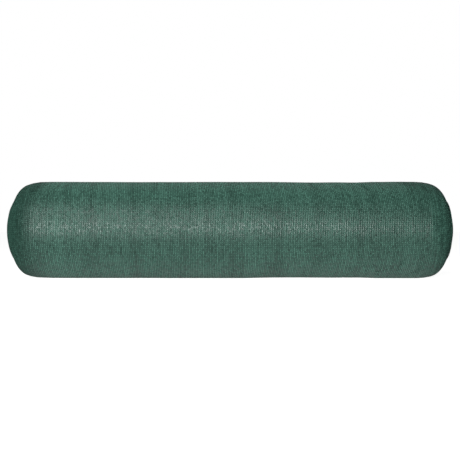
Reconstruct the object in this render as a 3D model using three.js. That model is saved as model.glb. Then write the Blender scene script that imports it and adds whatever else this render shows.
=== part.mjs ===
// A roll of knitted privacy screen netting. The net is folded once along its length and wound into
// one long roll, so its ends are the folds and selvages of every turn, pushed out into low domes.
// Millimetres, +Z up. X runs along the roll and -Y is its front. The origin is the middle of the
// underside, on the surface that the roll lies on.

import * as THREE from 'three';

// Driving dimensions
const rollLength = 1000;
const rollHeight = 218;
const flatWidth = 60;
const leftDomeDepth = 70;
const rightDomeDepth = 65;
const cutEndThickness = 2.6;
const cutEndAngle = -35;
const mainTurns = 5;
const turnGroove = 1.5;

// How finely the surface is cut up
const sectionSteps = 48;
const domeSteps = 20;

// How much fuller than its nominal radius the roll is along its length, from its left end
const fullness = [
  { at: 70, extra: 0.0 },
  { at: 160, extra: 0.0 },
  { at: 300, extra: 0.1 },
  { at: 430, extra: 0.0 },
  { at: 560, extra: 0.0 },
  { at: 610, extra: -0.7 },
  { at: 690, extra: -1.1 },
  { at: 790, extra: -1.1 },
  { at: 835, extra: 0.1 },
  { at: 880, extra: 0.4 },
  { at: 935, extra: 0.0 },
];

const axisHeight = rollHeight / 2;
const radians = Math.PI / 180;

// The wound section about the roll's axis: a circle that sags onto its flat spot, and a radius
// that loses the cloth's thickness over one turn, down to the face of the cut end on the back.
function woundSection() {
  const halfFlat = flatWidth / 2;
  const radius = (rollHeight ** 2 + halfFlat ** 2) / (2 * rollHeight);
  const sag = radius - axisHeight;
  const points = [];
  for (let step = 0; step <= sectionSteps; step += 1) {
    const turned = step / sectionSteps;
    const angle = cutEndAngle * radians + turned * 2 * Math.PI;
    const reach = radius + cutEndThickness * (0.5 - turned);
    const y = reach * Math.cos(angle);
    const z = Math.max(reach * Math.sin(angle) - sag, -axisHeight);
    points.push({ y, z, turned });
  }
  return points;
}

// One ring of the body, on its flat spot wherever the roll is at its full height
function bodyRing(section, station) {
  const scale = 1 + station.extra / axisHeight;
  return section.map(({ y, z }) => {
    const height = Math.max(z * scale, -axisHeight);
    return new THREE.Vector3(station.at, y * scale, height);
  });
}

// One ring of a domed end. The rise runs from 0 at the dome's rim to 1 at its tip, and the main
// turns are shallow spiral grooves that fade out towards the rim.
function domeRing(section, dome, rise) {
  const tilt = (1 - rise) * (Math.PI / 2);
  const fade = Math.min(1, rise * 2);
  return section.map(({ y, z, turned }) => {
    const phase = (1 - rise) * mainTurns - turned;
    const groove = turnGroove * fade * (0.5 - 0.5 * Math.cos(2 * Math.PI * phase));
    const scale = 1 - groove / dome.depth;
    const out = dome.depth * Math.cos(tilt) * scale;
    const across = Math.sin(tilt) * scale;
    return new THREE.Vector3(dome.rim + dome.side * out, y * across, z * across);
  });
}

// All rings from the left tip to the right one
function rollRings() {
  const section = woundSection();
  const left = { rim: leftDomeDepth, depth: leftDomeDepth, side: -1 };
  const right = { rim: rollLength - rightDomeDepth, depth: rightDomeDepth, side: 1 };
  const rings = [];
  for (let step = domeSteps - 1; step > 0; step -= 1) {
    rings.push(domeRing(section, left, step / domeSteps));
  }
  for (const station of fullness) {
    rings.push(bodyRing(section, station));
  }
  for (let step = 1; step < domeSteps; step += 1) {
    rings.push(domeRing(section, right, step / domeSteps));
  }
  return rings;
}

// Joins the rings and the two tips into one closed surface with its faces pointing out
function closedSurface(rings, leftTip, rightTip) {
  const around = rings[0].length;
  const points = [...rings.flat(), leftTip, rightTip];
  const leftTipIndex = points.length - 2;
  const rightTipIndex = points.length - 1;
  const lastRing = (rings.length - 1) * around;
  const faces = [];
  for (let spoke = 0; spoke < around; spoke += 1) {
    const next = (spoke + 1) % around;
    faces.push(leftTipIndex, next, spoke);
    for (let ring = 0; ring < lastRing; ring += around) {
      faces.push(ring + spoke, ring + next, ring + around + spoke);
      faces.push(ring + next, ring + around + next, ring + around + spoke);
    }
    faces.push(rightTipIndex, lastRing + spoke, lastRing + next);
  }
  const geometry = new THREE.BufferGeometry().setFromPoints(points);
  geometry.setIndex(faces);
  return geometry;
}

// Puts the origin in the middle of the underside
function standOnOrigin(geometry) {
  geometry.computeBoundingBox();
  const box = geometry.boundingBox;
  const middle = box.getCenter(new THREE.Vector3());
  geometry.translate(-middle.x, -middle.y, -box.min.z);
  return geometry;
}

const leftTip = new THREE.Vector3(0, 0, 0);
const rightTip = new THREE.Vector3(rollLength, 0, 0);
const rollGeometry = standOnOrigin(closedSurface(rollRings(), leftTip, rightTip));
rollGeometry.computeVertexNormals();

const knittedNet = new THREE.MeshStandardMaterial({
  color: 0x3f665a,
  roughness: 0.7,
  metalness: 0,
});

const nettingRoll = new THREE.Mesh(rollGeometry, knittedNet);
nettingRoll.name = 'netting_roll';

const part = new THREE.Group();
part.add(nettingRoll);

export default part;
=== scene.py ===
# Rolled privacy screen netting: a knitted net, folded once lengthwise and wound into one long roll.
# Metres. The roll lies along X on the floor, and its front looks to -Y.

import math

import bmesh
import bpy
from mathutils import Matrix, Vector, noise


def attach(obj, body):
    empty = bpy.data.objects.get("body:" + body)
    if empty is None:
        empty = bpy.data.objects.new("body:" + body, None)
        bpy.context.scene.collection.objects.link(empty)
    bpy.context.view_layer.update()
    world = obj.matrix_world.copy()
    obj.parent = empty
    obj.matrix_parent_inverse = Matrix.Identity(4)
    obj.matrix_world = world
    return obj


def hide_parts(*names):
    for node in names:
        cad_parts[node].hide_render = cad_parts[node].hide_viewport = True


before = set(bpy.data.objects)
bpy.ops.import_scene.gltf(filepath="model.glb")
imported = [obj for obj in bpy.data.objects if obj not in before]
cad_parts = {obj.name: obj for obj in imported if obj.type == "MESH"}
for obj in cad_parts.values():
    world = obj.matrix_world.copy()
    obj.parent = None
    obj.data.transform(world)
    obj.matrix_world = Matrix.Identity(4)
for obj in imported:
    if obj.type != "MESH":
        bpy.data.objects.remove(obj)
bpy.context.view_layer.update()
print("frame loaded")

roll = {
    "length": 1.0,
    "height": 0.2166,
    "flatWidth": 0.056,
    "leftDome": 0.070,
    "rightDome": 0.065,
    "turns": 62,  # of the folded net, seen on both ends
    "cutEndAngle": -35,  # degrees from the back, where the outer turn ends
    "ribs": 229,
    "ribRelief": 0.00034,
    "ribTall": (0.85, 1.1),  # every other rib stands higher
    "stitches": 166,  # in one turn round the outside
    "turnRelief": 0.0005,
    "turnReliefRise": (3, 14),  # turns from the outside over which it comes
    "layerRelief": 0.0030,  # some layers of the ends stand out further than others
    "layerReliefRise": (12, 32),
    "layerRate": 0.40,  # how fast the layers change from turn to turn
    "layerMiddle": 0.3,  # keeps most of them inside the dome's outline
    "shoulder": 10.0,  # slope of the domes' straight shoulders, as far as the ellipse inside them
    "leftFull": 0.060,  # how much fuller than an ellipse the domes are
    "rightFull": 0.038,
    "fullRise": (0.985, 0.93),  # shares of the radius over which that fullness comes
    "fullFade": (0.70, 0.92),  # and goes again towards the middle
    "stepsAround": 88,
    "slantFrom": 0.84,  # of a turn, where the net's edge starts to run in under the cut end
    "edgeFade": 0.12,  # over this length the ribs follow the net's slanting edge
    "ribLean": 0.0033,  # how far the ribs drift sideways up the front
    "ribBow": 0.0079,  # how far they bow to the right of their ends
    "ribFan": 0.0090,  # and how much they fan out for each metre from the middle
    "leanEnd": 0.075,  # from the roll's tips, where the ribs stand straight
    "leanFade": 0.07,
    "unevenness": 0.0005,
    "unevenAlong": 11,  # soft bumps in a metre along the roll
    "unevenAcross": 16,
    "sharpEdge": 65,  # degrees, past which an edge isn't shaded smooth
}

# Where the top and the underside are fuller or slimmer than nominal, from left to right
fullness = [
    {"x": -0.430, "top": -0.0004, "bottom": -0.0013},
    {"x": -0.395, "top": 0.0001, "bottom": -0.0002},
    {"x": -0.340, "top": 0.0003, "bottom": -0.0002},
    {"x": -0.200, "top": -0.0002, "bottom": 0.0002},
    {"x": 0.020, "top": 0.0000, "bottom": 0.0001},
    {"x": 0.106, "top": -0.0002, "bottom": -0.0013},
    {"x": 0.197, "top": -0.0010, "bottom": -0.0013},
    {"x": 0.242, "top": -0.0006, "bottom": -0.0012},
    {"x": 0.288, "top": -0.0014, "bottom": -0.0010},
    {"x": 0.340, "top": -0.0001, "bottom": 0.0003},
    {"x": 0.390, "top": 0.0004, "bottom": 0.0006},
    {"x": 0.412, "top": 0.0003, "bottom": 0.0005},
    {"x": 0.440, "top": -0.0008, "bottom": -0.0012},
]

# Soft drag creases in the outer turn. They lie at a place along X and an angle in degrees up from
# the front, lean is their run along X for each unit round the roll, and shade is how dark the
# painted shadow in the fold makes them.
creases = [
    {
        "x": 0.262, "at": 40, "lean": -0.30, "long": 0.026,
        "wide": 0.0030, "deep": 0.0010, "paintedShade": 0.15,
    },
    {
        "x": 0.303, "at": 60, "lean": -0.35, "long": 0.024,
        "wide": 0.0032, "deep": 0.0026, "paintedShade": 0.45,
    },
    {
        "x": 0.268, "at": -66, "lean": 0.45, "long": 0.026,
        "wide": 0.0028, "deep": 0.0010, "paintedShade": 0.15,
    },
    {
        "x": 0.374, "at": -42, "lean": 0.40, "long": 0.020,
        "wide": 0.0030, "deep": 0.0018, "paintedShade": 0.30,
    },
    {
        "x": 0.412, "at": -52, "lean": 0.50, "long": 0.026,
        "wide": 0.0030, "deep": 0.0024, "paintedShade": 0.40,
    },
    {
        "x": 0.430, "at": 58, "lean": -0.25, "long": 0.024,
        "wide": 0.0030, "deep": 0.0018, "paintedShade": 0.25,
    },
    {
        "x": -0.180, "at": 46, "lean": 0.05, "long": 0.030,
        "wide": 0.0028, "deep": 0.0010, "paintedShade": 0.20,
    },
]

# The two ends are darkened with painted shade, past from to to along the roll. The painted shade
# spreads further in over the top of the roll, and top makes it darker there too.
ends = [
    {"side": -1, "from": 0.418, "to": 0.450, "spread": 0.025, "paintedShade": 0.42, "top": 0.05},
    {"side": 1, "from": 0.400, "to": 0.440, "spread": 0.040, "paintedShade": 0.04, "top": 0.40},
]

axisHeight = roll["height"] / 2
nominalRadius = (roll["height"] ** 2 + (roll["flatWidth"] / 2) ** 2) / (2 * roll["height"])
sag = nominalRadius - axisHeight
turnPitch = nominalRadius / (roll["turns"] - 0.5)
outerRadius = nominalRadius + turnPitch / 2
bodyLength = roll["length"] - roll["leftDome"] - roll["rightDome"]
ribPitch = bodyLength / roll["ribs"]
samples = 3  # across a rib or a turn: the groove and its two shoulders


def smoothStep(low, high, value):
    t = min(1, max(0, (value - low) / (high - low)))
    return t * t * (3 - 2 * t)


def blendRows(rows, x, key):
    if x <= rows[0]["x"]:
        return rows[0][key]
    for before, after in zip(rows, rows[1:]):
        if x <= after["x"]:
            share = smoothStep(before["x"], after["x"], x)
            return before[key] + (after[key] - before[key]) * share
    return rows[-1][key]


def radiusShare(turned):
    return 1 - turned * turnPitch / outerRadius


def woundPoint(turned, inward=0.0, out=0.0):
    # A point of the spiral section as (y, z) from the roll's axis. Turned counts turns from the cut
    # end, inward is a further part of a turn towards the middle and out stands off the surface.
    share = radiusShare(turned + inward)
    inner = min(1, share / radiusShare(turned % 1))
    angle = math.radians(roll["cutEndAngle"]) + turned * math.tau
    y = (outerRadius * share + out) * math.cos(angle)
    z = (outerRadius * share + out) * math.sin(angle) - sag * share
    unflattened = smoothStep(0.99, 0.7, inner) * 2 * sag
    return y, max(z, -(axisHeight + unflattened) * inner)


def domeReach(turned, inward=0.0, full=0.0):
    # How far past the rim a turn stands, as a share of the dome's depth. The shares of the radius
    # are counted from the net's slanting edge.
    part = turned % 1
    outer = radiusShare(part * (1 - smoothStep(roll["slantFrom"], 1, part)))
    inner = min(1, radiusShare(turned + inward) / outer)
    reach = min(math.sqrt(1 - inner * inner), (1 - inner) * roll["shoulder"])
    rise, fade = roll["fullRise"], roll["fullFade"]
    return reach + full * smoothStep(*rise, inner) * smoothStep(*fade, inner)


def addGrid(bm, columns, rows, knit, uvOf, pointOf):
    # A flat grid whose corners are whole numbers at first, then taken to their places on the roll
    made = bmesh.ops.create_grid(bm, x_segments=columns, y_segments=rows, size=0.5)
    verts = made["verts"]
    faces = {face for vert in verts for face in vert.link_faces}
    for vert in verts:
        vert.co.x = round((vert.co.x + 0.5) * columns)
        vert.co.y = round((vert.co.y + 0.5) * rows)
    for face in faces:
        for loop in face.loops:
            loop[knit].uv = uvOf(loop.vert.co.x, loop.vert.co.y)
    for vert in verts:
        vert.co = pointOf(int(vert.co.x), int(vert.co.y))


def outerTurn(bm, knit):
    columns = roll["ribs"] * samples
    steps = roll["stepsAround"]
    left = -roll["length"] / 2 + roll["leftDome"]
    right = roll["length"] / 2 - roll["rightDome"]

    def uvOf(column, row):
        return column / samples, row / steps * roll["stitches"]

    def pointOf(column, row):
        turned = row / steps if row <= steps else 0  # the last row closes the step at the cut end
        along = column / columns
        x = left + (right - left) * along
        toLeft = smoothStep(roll["edgeFade"], 0, x - left)
        toRight = smoothStep(roll["edgeFade"], 0, right - x)
        x += (toRight * roll["rightDome"] - toLeft * roll["leftDome"]) * domeReach(turned)
        rib = column // samples
        onRib = column % samples != 0
        varied = 0.8 + 0.4 * noise.noise((rib * 3.7, 0, 0))  # no two ribs stand quite alike
        relief = roll["ribRelief"] * roll["ribTall"][rib % 2] * varied
        y, z = woundPoint(turned, 0, relief if onRib else 0)
        return Vector((x, y, z))

    addGrid(bm, columns, steps + 1, knit, uvOf, pointOf)


def domedEnd(bm, knit, side):
    steps = roll["stepsAround"]
    columns = (roll["turns"] - 1) * steps
    depth = roll["leftDome"] if side < 0 else roll["rightDome"]
    rim = side * (roll["length"] / 2 - depth)
    edgeRib = roll["ribs"] + 1 if side > 0 else -1
    full = roll["leftFull"] if side < 0 else roll["rightFull"]

    def uvOf(column, row):  # each turn shows the ribs next to its own edge
        turned = column / steps
        ribbon = turned - turned * turned / (2 * roll["turns"])
        stair = depth * (domeReach(turned, 1, full) - domeReach(turned, 0, full))
        shown = math.hypot(stair, turnPitch) / ribPitch * (1 - row / samples)
        return edgeRib - side * shown, ribbon * roll["stitches"]

    def pointOf(column, row):
        turned = column / steps
        inward = row / samples
        proud = roll["turnRelief"] if 0 < row < samples else 0
        proud *= smoothStep(*roll["turnReliefRise"], turned)
        layer = turned + inward
        uneven = noise.noise((layer * roll["layerRate"], side * 5, 0)) - roll["layerMiddle"]
        proud += uneven * roll["layerRelief"] * smoothStep(*roll["layerReliefRise"], layer)
        x = rim + side * (depth * domeReach(turned, inward, full) + proud)
        y, z = woundPoint(turned, inward, proud * radiusShare(turned + inward) * 0.5)
        return Vector((x, y, z))

    addGrid(bm, columns, samples, knit, uvOf, pointOf)


def creaseFold(crease, x, angle):
    # 1 in the middle of a crease, and nothing away from it
    alongRoll = x - crease["x"]
    aroundRoll = math.radians(angle - crease["at"]) * outerRadius
    off = (alongRoll - crease["lean"] * aroundRoll) / crease["wide"]
    far = aroundRoll / crease["long"]
    return math.exp(-off * off - far * far)


# painted shade on the roll's two ends, strongest at the tips and over the top
def paintedEndShade(x, up):
    paintedDark = 0
    for end in ends:
        reach = x * end["side"] + end["spread"] * max(0, up) ** 2
        strength = end["paintedShade"] + end["top"] * max(0, up) ** 2
        paintedDark += strength * smoothStep(end["from"], end["to"], reach)
    return paintedDark


def settle(bm):  # the roll's soft large shape, then its weight on the floor
    paintedShadeLayer = bm.verts.layers.float.new("paintedShade")
    along, across = roll["unevenAlong"], roll["unevenAcross"]
    for vert in bm.verts:
        x, y, z = vert.co
        around = math.hypot(y, z)
        if around < 1e-6:
            continue
        up = z / around
        front = -y / around
        angle = math.degrees(math.atan2(z, -y))
        key = "top" if z > 0 else "bottom"
        fuller = blendRows(fullness, x, key) * up * up * around / outerRadius
        bump = noise.noise(Vector((x * along, y * across, z * across))) * roll["unevenness"]
        # painted shade: the ends and the creases' folds are darkened in a vertex attribute that the
        # material reads
        paintedDark = paintedEndShade(x, up)
        for crease in creases:
            fold = creaseFold(crease, x, angle)
            bump -= crease["deep"] * fold
            paintedDark += crease["paintedShade"] * fold
        vert[paintedShadeLayer] = paintedDark
        grow = 1 + (fuller + bump) / around * min(1, around / outerRadius * 1.2)
        inside = smoothStep(0, roll["leanFade"], roll["length"] / 2 - roll["leanEnd"] - abs(x))
        lean = (x * roll["ribFan"] - roll["ribLean"]) * up - roll["ribBow"] * (1 - front)
        high = max(z * grow, -axisHeight) + axisHeight
        vert.co = Vector((x + lean * inside, y * grow, high))


def netRoll():
    bm = bmesh.new()
    knit = bm.loops.layers.uv.new("knit")
    outerTurn(bm, knit)
    domedEnd(bm, knit, -1)
    domedEnd(bm, knit, 1)
    bmesh.ops.remove_doubles(bm, verts=bm.verts, dist=1e-6)
    openEdges = [edge for edge in bm.edges if edge.is_boundary]  # at the middle of both ends
    bmesh.ops.holes_fill(bm, edges=openEdges, sides=0)
    settle(bm)
    bmesh.ops.recalc_face_normals(bm, faces=bm.faces)
    for face in bm.faces:
        face.smooth = True
    for edge in bm.edges:
        if edge.calc_face_angle(0) > math.radians(roll["sharpEdge"]):
            edge.smooth = False
    mesh = bpy.data.meshes.new("net_roll")
    bm.to_mesh(mesh)
    bm.free()
    piece = bpy.data.objects.new("net_roll", mesh)
    bpy.context.scene.collection.objects.link(piece)
    return piece


class Wire:  # a socket of a material, so that shader maths reads as plain sums
    def __init__(self, tree, socket):
        self.tree = tree
        self.socket = socket

    def node(self, kind, settings=None, inputs=None, output=0):
        made = self.tree.nodes.new(kind)
        for name, value in (settings or {}).items():
            setattr(made, name, value)
        for name, value in (inputs or {}).items():
            if isinstance(value, Wire):
                self.tree.links.new(value.socket, made.inputs[name])
            else:
                made.inputs[name].default_value = value
        return Wire(self.tree, made.outputs[output] if made.outputs else None)

    def math(self, operation, *values):
        return self.node("ShaderNodeMath", {"operation": operation}, dict(enumerate(values)))

    def __add__(self, other):
        return self.math("ADD", self, other)

    def __sub__(self, other):
        return self.math("SUBTRACT", self, other)

    def __mul__(self, other):
        return self.math("MULTIPLY", self, other)

    def __rsub__(self, other):
        return self.math("SUBTRACT", other, self)

    def __neg__(self):
        return self.math("MULTIPLY", self, -1)

    __radd__ = __add__
    __rmul__ = __mul__

    def fract(self):
        return self.math("FRACT", self)

    def floor(self):
        return self.math("FLOOR", self)

    def size(self):
        return self.math("ABSOLUTE", self)

    def positive(self):
        return self.math("MAXIMUM", self, 0)

    def cubed(self):
        return self.math("POWER", self, 3)

    def between(self, low, high):  # a soft step from 0 at low to 1 at high
        return self.node(
            "ShaderNodeMapRange",
            {"interpolation_type": "SMOOTHSTEP"},
            {"Value": self, "From Min": low, "From Max": high},
        )

    def mix(self, low, high):  # colours
        return self.node("ShaderNodeMix", {"data_type": "RGBA"}, {0: self, 6: low, 7: high}, 2)

    def scatter(self, other):  # a random value for each whole pair of numbers
        pair = self.node("ShaderNodeCombineXYZ", None, {0: self, 1: other})
        return self.node("ShaderNodeTexWhiteNoise", {"noise_dimensions": "2D"}, {"Vector": pair})

    def clouds(self, other, scale, detail):
        pair = self.node("ShaderNodeCombineXYZ", None, {0: self, 1: other})
        return self.node(
            "ShaderNodeTexNoise",
            {"noise_dimensions": "2D"},
            {"Vector": pair, "Scale": scale, "Detail": detail},
        )


net = {
    "tape": (0.084, 0.224, 0.169, 1),
    "yarn": (0.032, 0.088, 0.066, 1),
    # deep is the near-black of painted shadow inside the knit's gaps
    "deep": (0.004, 0.017, 0.012, 1),
    "worn": (0.085, 0.215, 0.165, 1),
    "wornShare": 0.4,
    "glossTint": (0.86, 1.0, 0.95, 1),
    "gloss": 0.80,
    "smooth": 0.37,  # roughness of the shiniest stitches
    "rough": 0.56,  # and of the dullest ones
    "matte": 1.0,  # how soft the cloth's own colour looks towards its edges
    "deepRoughness": 0.9,
    "deepGloss": 0.1,
    "cellVaries": 0.50,  # how much lighter and darker single stitches are
    "ribVaries": 0.2,
    "streaksVary": 0.5,
    "patchesVary": 0.3,
    "grooveDark": 0.70,  # how much painted shade darkens each kind of gap, where the gaps also show darker layers beneath
    "gapDark": 0.55,
    "jointDark": 0.85,
    "otherDark": 0.05,
    "glintDark": 0.20,
    "wobble": 0.2,  # of a stitch
    "bump": 0.19,
    "bumpDistance": 0.0012,
}


def knitMaterial():
    material = bpy.data.materials.new("knitted_net")
    material.use_nodes = True
    tree = material.node_tree
    tree.nodes.clear()
    start = Wire(tree, None)
    uv = start.node("ShaderNodeUVMap", {"uv_map": "knit"})
    rib = uv.node("ShaderNodeSeparateXYZ", None, {0: uv}, 0)
    course = uv.node("ShaderNodeSeparateXYZ", None, {0: uv}, 1)

    wobble = rib.clouds(course, 0.9, 1.0) - 0.5
    ribNumber = rib.floor()
    across = (rib.fract() - 0.5).size() * 2  # 0 on the rib's crest, 1 in the groove
    other = (ribNumber * 0.5).fract() * 2  # every other rib
    stitch = course + other * 0.12 + wobble * net["wobble"]
    loop = (stitch.fract() - 0.5).size() * 2  # 0 in the middle of a stitch, 1 between two
    cell = ribNumber.scatter(stitch.floor())
    glint = ribNumber.scatter(stitch.floor() + 0.5)
    ribChance = ribNumber.scatter(7.0)

    chain = 1 - across.between(0.15, 0.6)  # the rib's own chain of stitches
    groove = across.between(0.5, 1.0)
    knot = chain * (1 - loop.between(0.3, 1.0))
    gap = groove * (1 - loop.between(0.35, 0.85)) * cell.between(0.25, 0.7)

    streaks = (rib * 0.16).clouds(course * 0.012, 1.0, 2.0)  # run round the roll
    patches = (rib * 0.05).clouds(course * 0.06, 1.0, 3.0)

    light = 0.5 + (cell - 0.5) * net["cellVaries"] + (ribChance - 0.5) * net["ribVaries"]
    light = light + (streaks - 0.5) * net["streaksVary"]
    light = light + (patches - 0.5) * net["patchesVary"]
    color = light.between(0.0, 1.0).mix(net["yarn"], net["tape"])
    color = (cell.between(0.75, 1.0) * chain * net["wornShare"]).mix(color, net["worn"])

    joint = chain * loop.between(0.45, 0.95)  # the dip between two stitches of a rib
    # painted shade in the knit's grooves, gaps and the dips between stitches, where the gaps also
    # show darker layers beneath; every other rib and random stitches are a little darker in tone
    paintedShadeAndDarkStitches = groove * net["grooveDark"] + gap * net["gapDark"] + joint * net["jointDark"]
    paintedShadeAndDarkStitches = paintedShadeAndDarkStitches + other * net["otherDark"] + glint.between(0.5, 1.0) * net["glintDark"]
    # the painted shade of the ends and creases, read from the vertex attribute
    paintedShade = start.node("ShaderNodeAttribute", {"attribute_name": "paintedShade"}, None, 2)
    paintedShadeAndDarkStitches = paintedShadeAndDarkStitches + (1 - paintedShadeAndDarkStitches) * paintedShade
    lift = 0.3 + glint * 1.2
    height = knot * lift - gap * 0.8 - groove * 0.25
    bump = start.node(
        "ShaderNodeBump",
        None,
        {"Strength": net["bump"], "Distance": net["bumpDistance"], "Height": height},
    )
    roughness = net["smooth"] + cell.between(0.1, 0.8) * (net["rough"] - net["smooth"])
    cloth = start.node(
        "ShaderNodeBsdfPrincipled",
        None,
        {
            "Base Color": color,
            "Roughness": roughness,
            "Normal": bump,
            "Specular IOR Level": net["gloss"],
            "Specular Tint": net["glossTint"],
            "Diffuse Roughness": net["matte"],
        },
    )
    # a dark, dull surface that stands in for the shadow inside the gaps, mixed in as painted shade
    paintedShadowShader = start.node(
        "ShaderNodeBsdfPrincipled",
        None,
        {
            "Base Color": net["deep"],
            "Roughness": net["deepRoughness"],
            "Specular IOR Level": net["deepGloss"],
        },
    )
    surface = start.node("ShaderNodeMixShader", None, {0: paintedShadeAndDarkStitches, 1: cloth, 2: paintedShadowShader})
    start.node("ShaderNodeOutputMaterial", None, {"Surface": surface})
    return material


netPiece = netRoll()
netPiece.data.materials.append(knitMaterial())
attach(netPiece, "root")
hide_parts("netting_roll")
print("net roll made,", len(netPiece.data.polygons), "faces")

studio = {
    "cameraDistance": 1.819,
    "cameraDrop": 0.0004,  # under the roll's axis
    "frameWidth": 1.046,  # seen at the roll's axis
    "sensor": 36.0,
    "floorSize": 80.0,
    "floorColor": (0.93, 0.93, 0.93, 1),
    "backdrop": 1.0,
    "around": {  # the light that comes from each side of the studio
        "behind": 0.05,
        "above": 0.06,
        "below": 1.10,
        "lowFront": 0.42,
        "rimTop": 3.3,
        "ends": 0.9,  # how much darker it is past the roll's ends
    },
    "keyWatts": 65,
    "keyPlace": (-0.42, -2.55, 0.33),
    "keySize": (0.6, 1.0),
    "topWatts": 8.6,
    "topPlace": (-0.55, -1.20, 1.14),
    "topSize": (0.6, 0.6),
    "floorGlow": 0.90,
}


def areaLight(name, place, target, size, watts):
    data = bpy.data.lights.new(name, "AREA")
    data.shape = "RECTANGLE"
    data.size, data.size_y = size
    data.energy = watts
    lamp = bpy.data.objects.new(name, data)
    lamp.location = place
    lamp.rotation_euler = (Vector(target) - Vector(place)).to_track_quat("-Z", "Y").to_euler()
    bpy.context.scene.collection.objects.link(lamp)


def studioWorld():
    world = bpy.data.worlds.new("studio")
    bpy.context.scene.world = world
    world.use_nodes = True
    tree = world.node_tree
    tree.nodes.clear()
    start = Wire(tree, None)
    way = start.node("ShaderNodeTexCoord", None, None, 0)
    x, y, z = [way.node("ShaderNodeSeparateXYZ", None, {0: way}, axis) for axis in range(3)]
    back, front = y.positive(), (-y).positive()
    up, down = z.positive(), (-z).positive()
    around = studio["around"]
    light = back * back * around["behind"] + front * down * around["lowFront"]
    light = light + up * up * around["above"] + down * down * around["below"]
    light = light + (back * up).cubed() * around["rimTop"]
    light = light * (1 - x * x * around["ends"])
    lit = start.node("ShaderNodeBackground", None, {"Color": (1, 1, 1, 1), "Strength": light})
    seen = start.node(
        "ShaderNodeBackground", None, {"Color": (1, 1, 1, 1), "Strength": studio["backdrop"]}
    )
    direct = start.node("ShaderNodeLightPath", None, None, 0)
    both = start.node("ShaderNodeMixShader", None, {0: direct, 1: lit, 2: seen})
    start.node("ShaderNodeOutputWorld", None, {"Surface": both})


def studioFloor():
    bm = bmesh.new()
    bmesh.ops.create_grid(bm, x_segments=1, y_segments=1, size=studio["floorSize"] / 2)
    mesh = bpy.data.meshes.new("floor")
    bm.to_mesh(mesh)
    bm.free()
    floor = bpy.data.objects.new("floor", mesh)
    bpy.context.scene.collection.objects.link(floor)
    material = bpy.data.materials.new("pale_floor")
    material.use_nodes = True
    surface = material.node_tree.nodes["Principled BSDF"]
    surface.inputs["Base Color"].default_value = studio["floorColor"]
    surface.inputs["Roughness"].default_value = 0.9
    surface.inputs["Specular IOR Level"].default_value = 0.1
    surface.inputs["Emission Color"].default_value = (1, 1, 1, 1)
    surface.inputs["Emission Strength"].default_value = studio["floorGlow"]
    mesh.materials.append(material)
    floor.visible_diffuse = False  # the light from below is the studio's own
    floor.visible_glossy = False


def studioCamera():
    data = bpy.data.cameras.new("camera")
    data.sensor_width = studio["sensor"]
    data.lens = studio["sensor"] * studio["cameraDistance"] / studio["frameWidth"]
    data.clip_start = 0.05
    data.clip_end = studio["floorSize"]
    camera = bpy.data.objects.new("camera", data)
    camera.location = (0, -studio["cameraDistance"], axisHeight - studio["cameraDrop"])
    camera.rotation_euler = (math.pi / 2, 0, 0)
    bpy.context.scene.collection.objects.link(camera)
    bpy.context.scene.camera = camera


studioWorld()
studioFloor()
studioCamera()
middle = (0, 0, axisHeight)
areaLight("key", studio["keyPlace"], middle, studio["keySize"], studio["keyWatts"])
areaLight("top", studio["topPlace"], middle, studio["topSize"], studio["topWatts"])
bpy.context.scene.view_settings.view_transform = "Standard"
print("studio set")
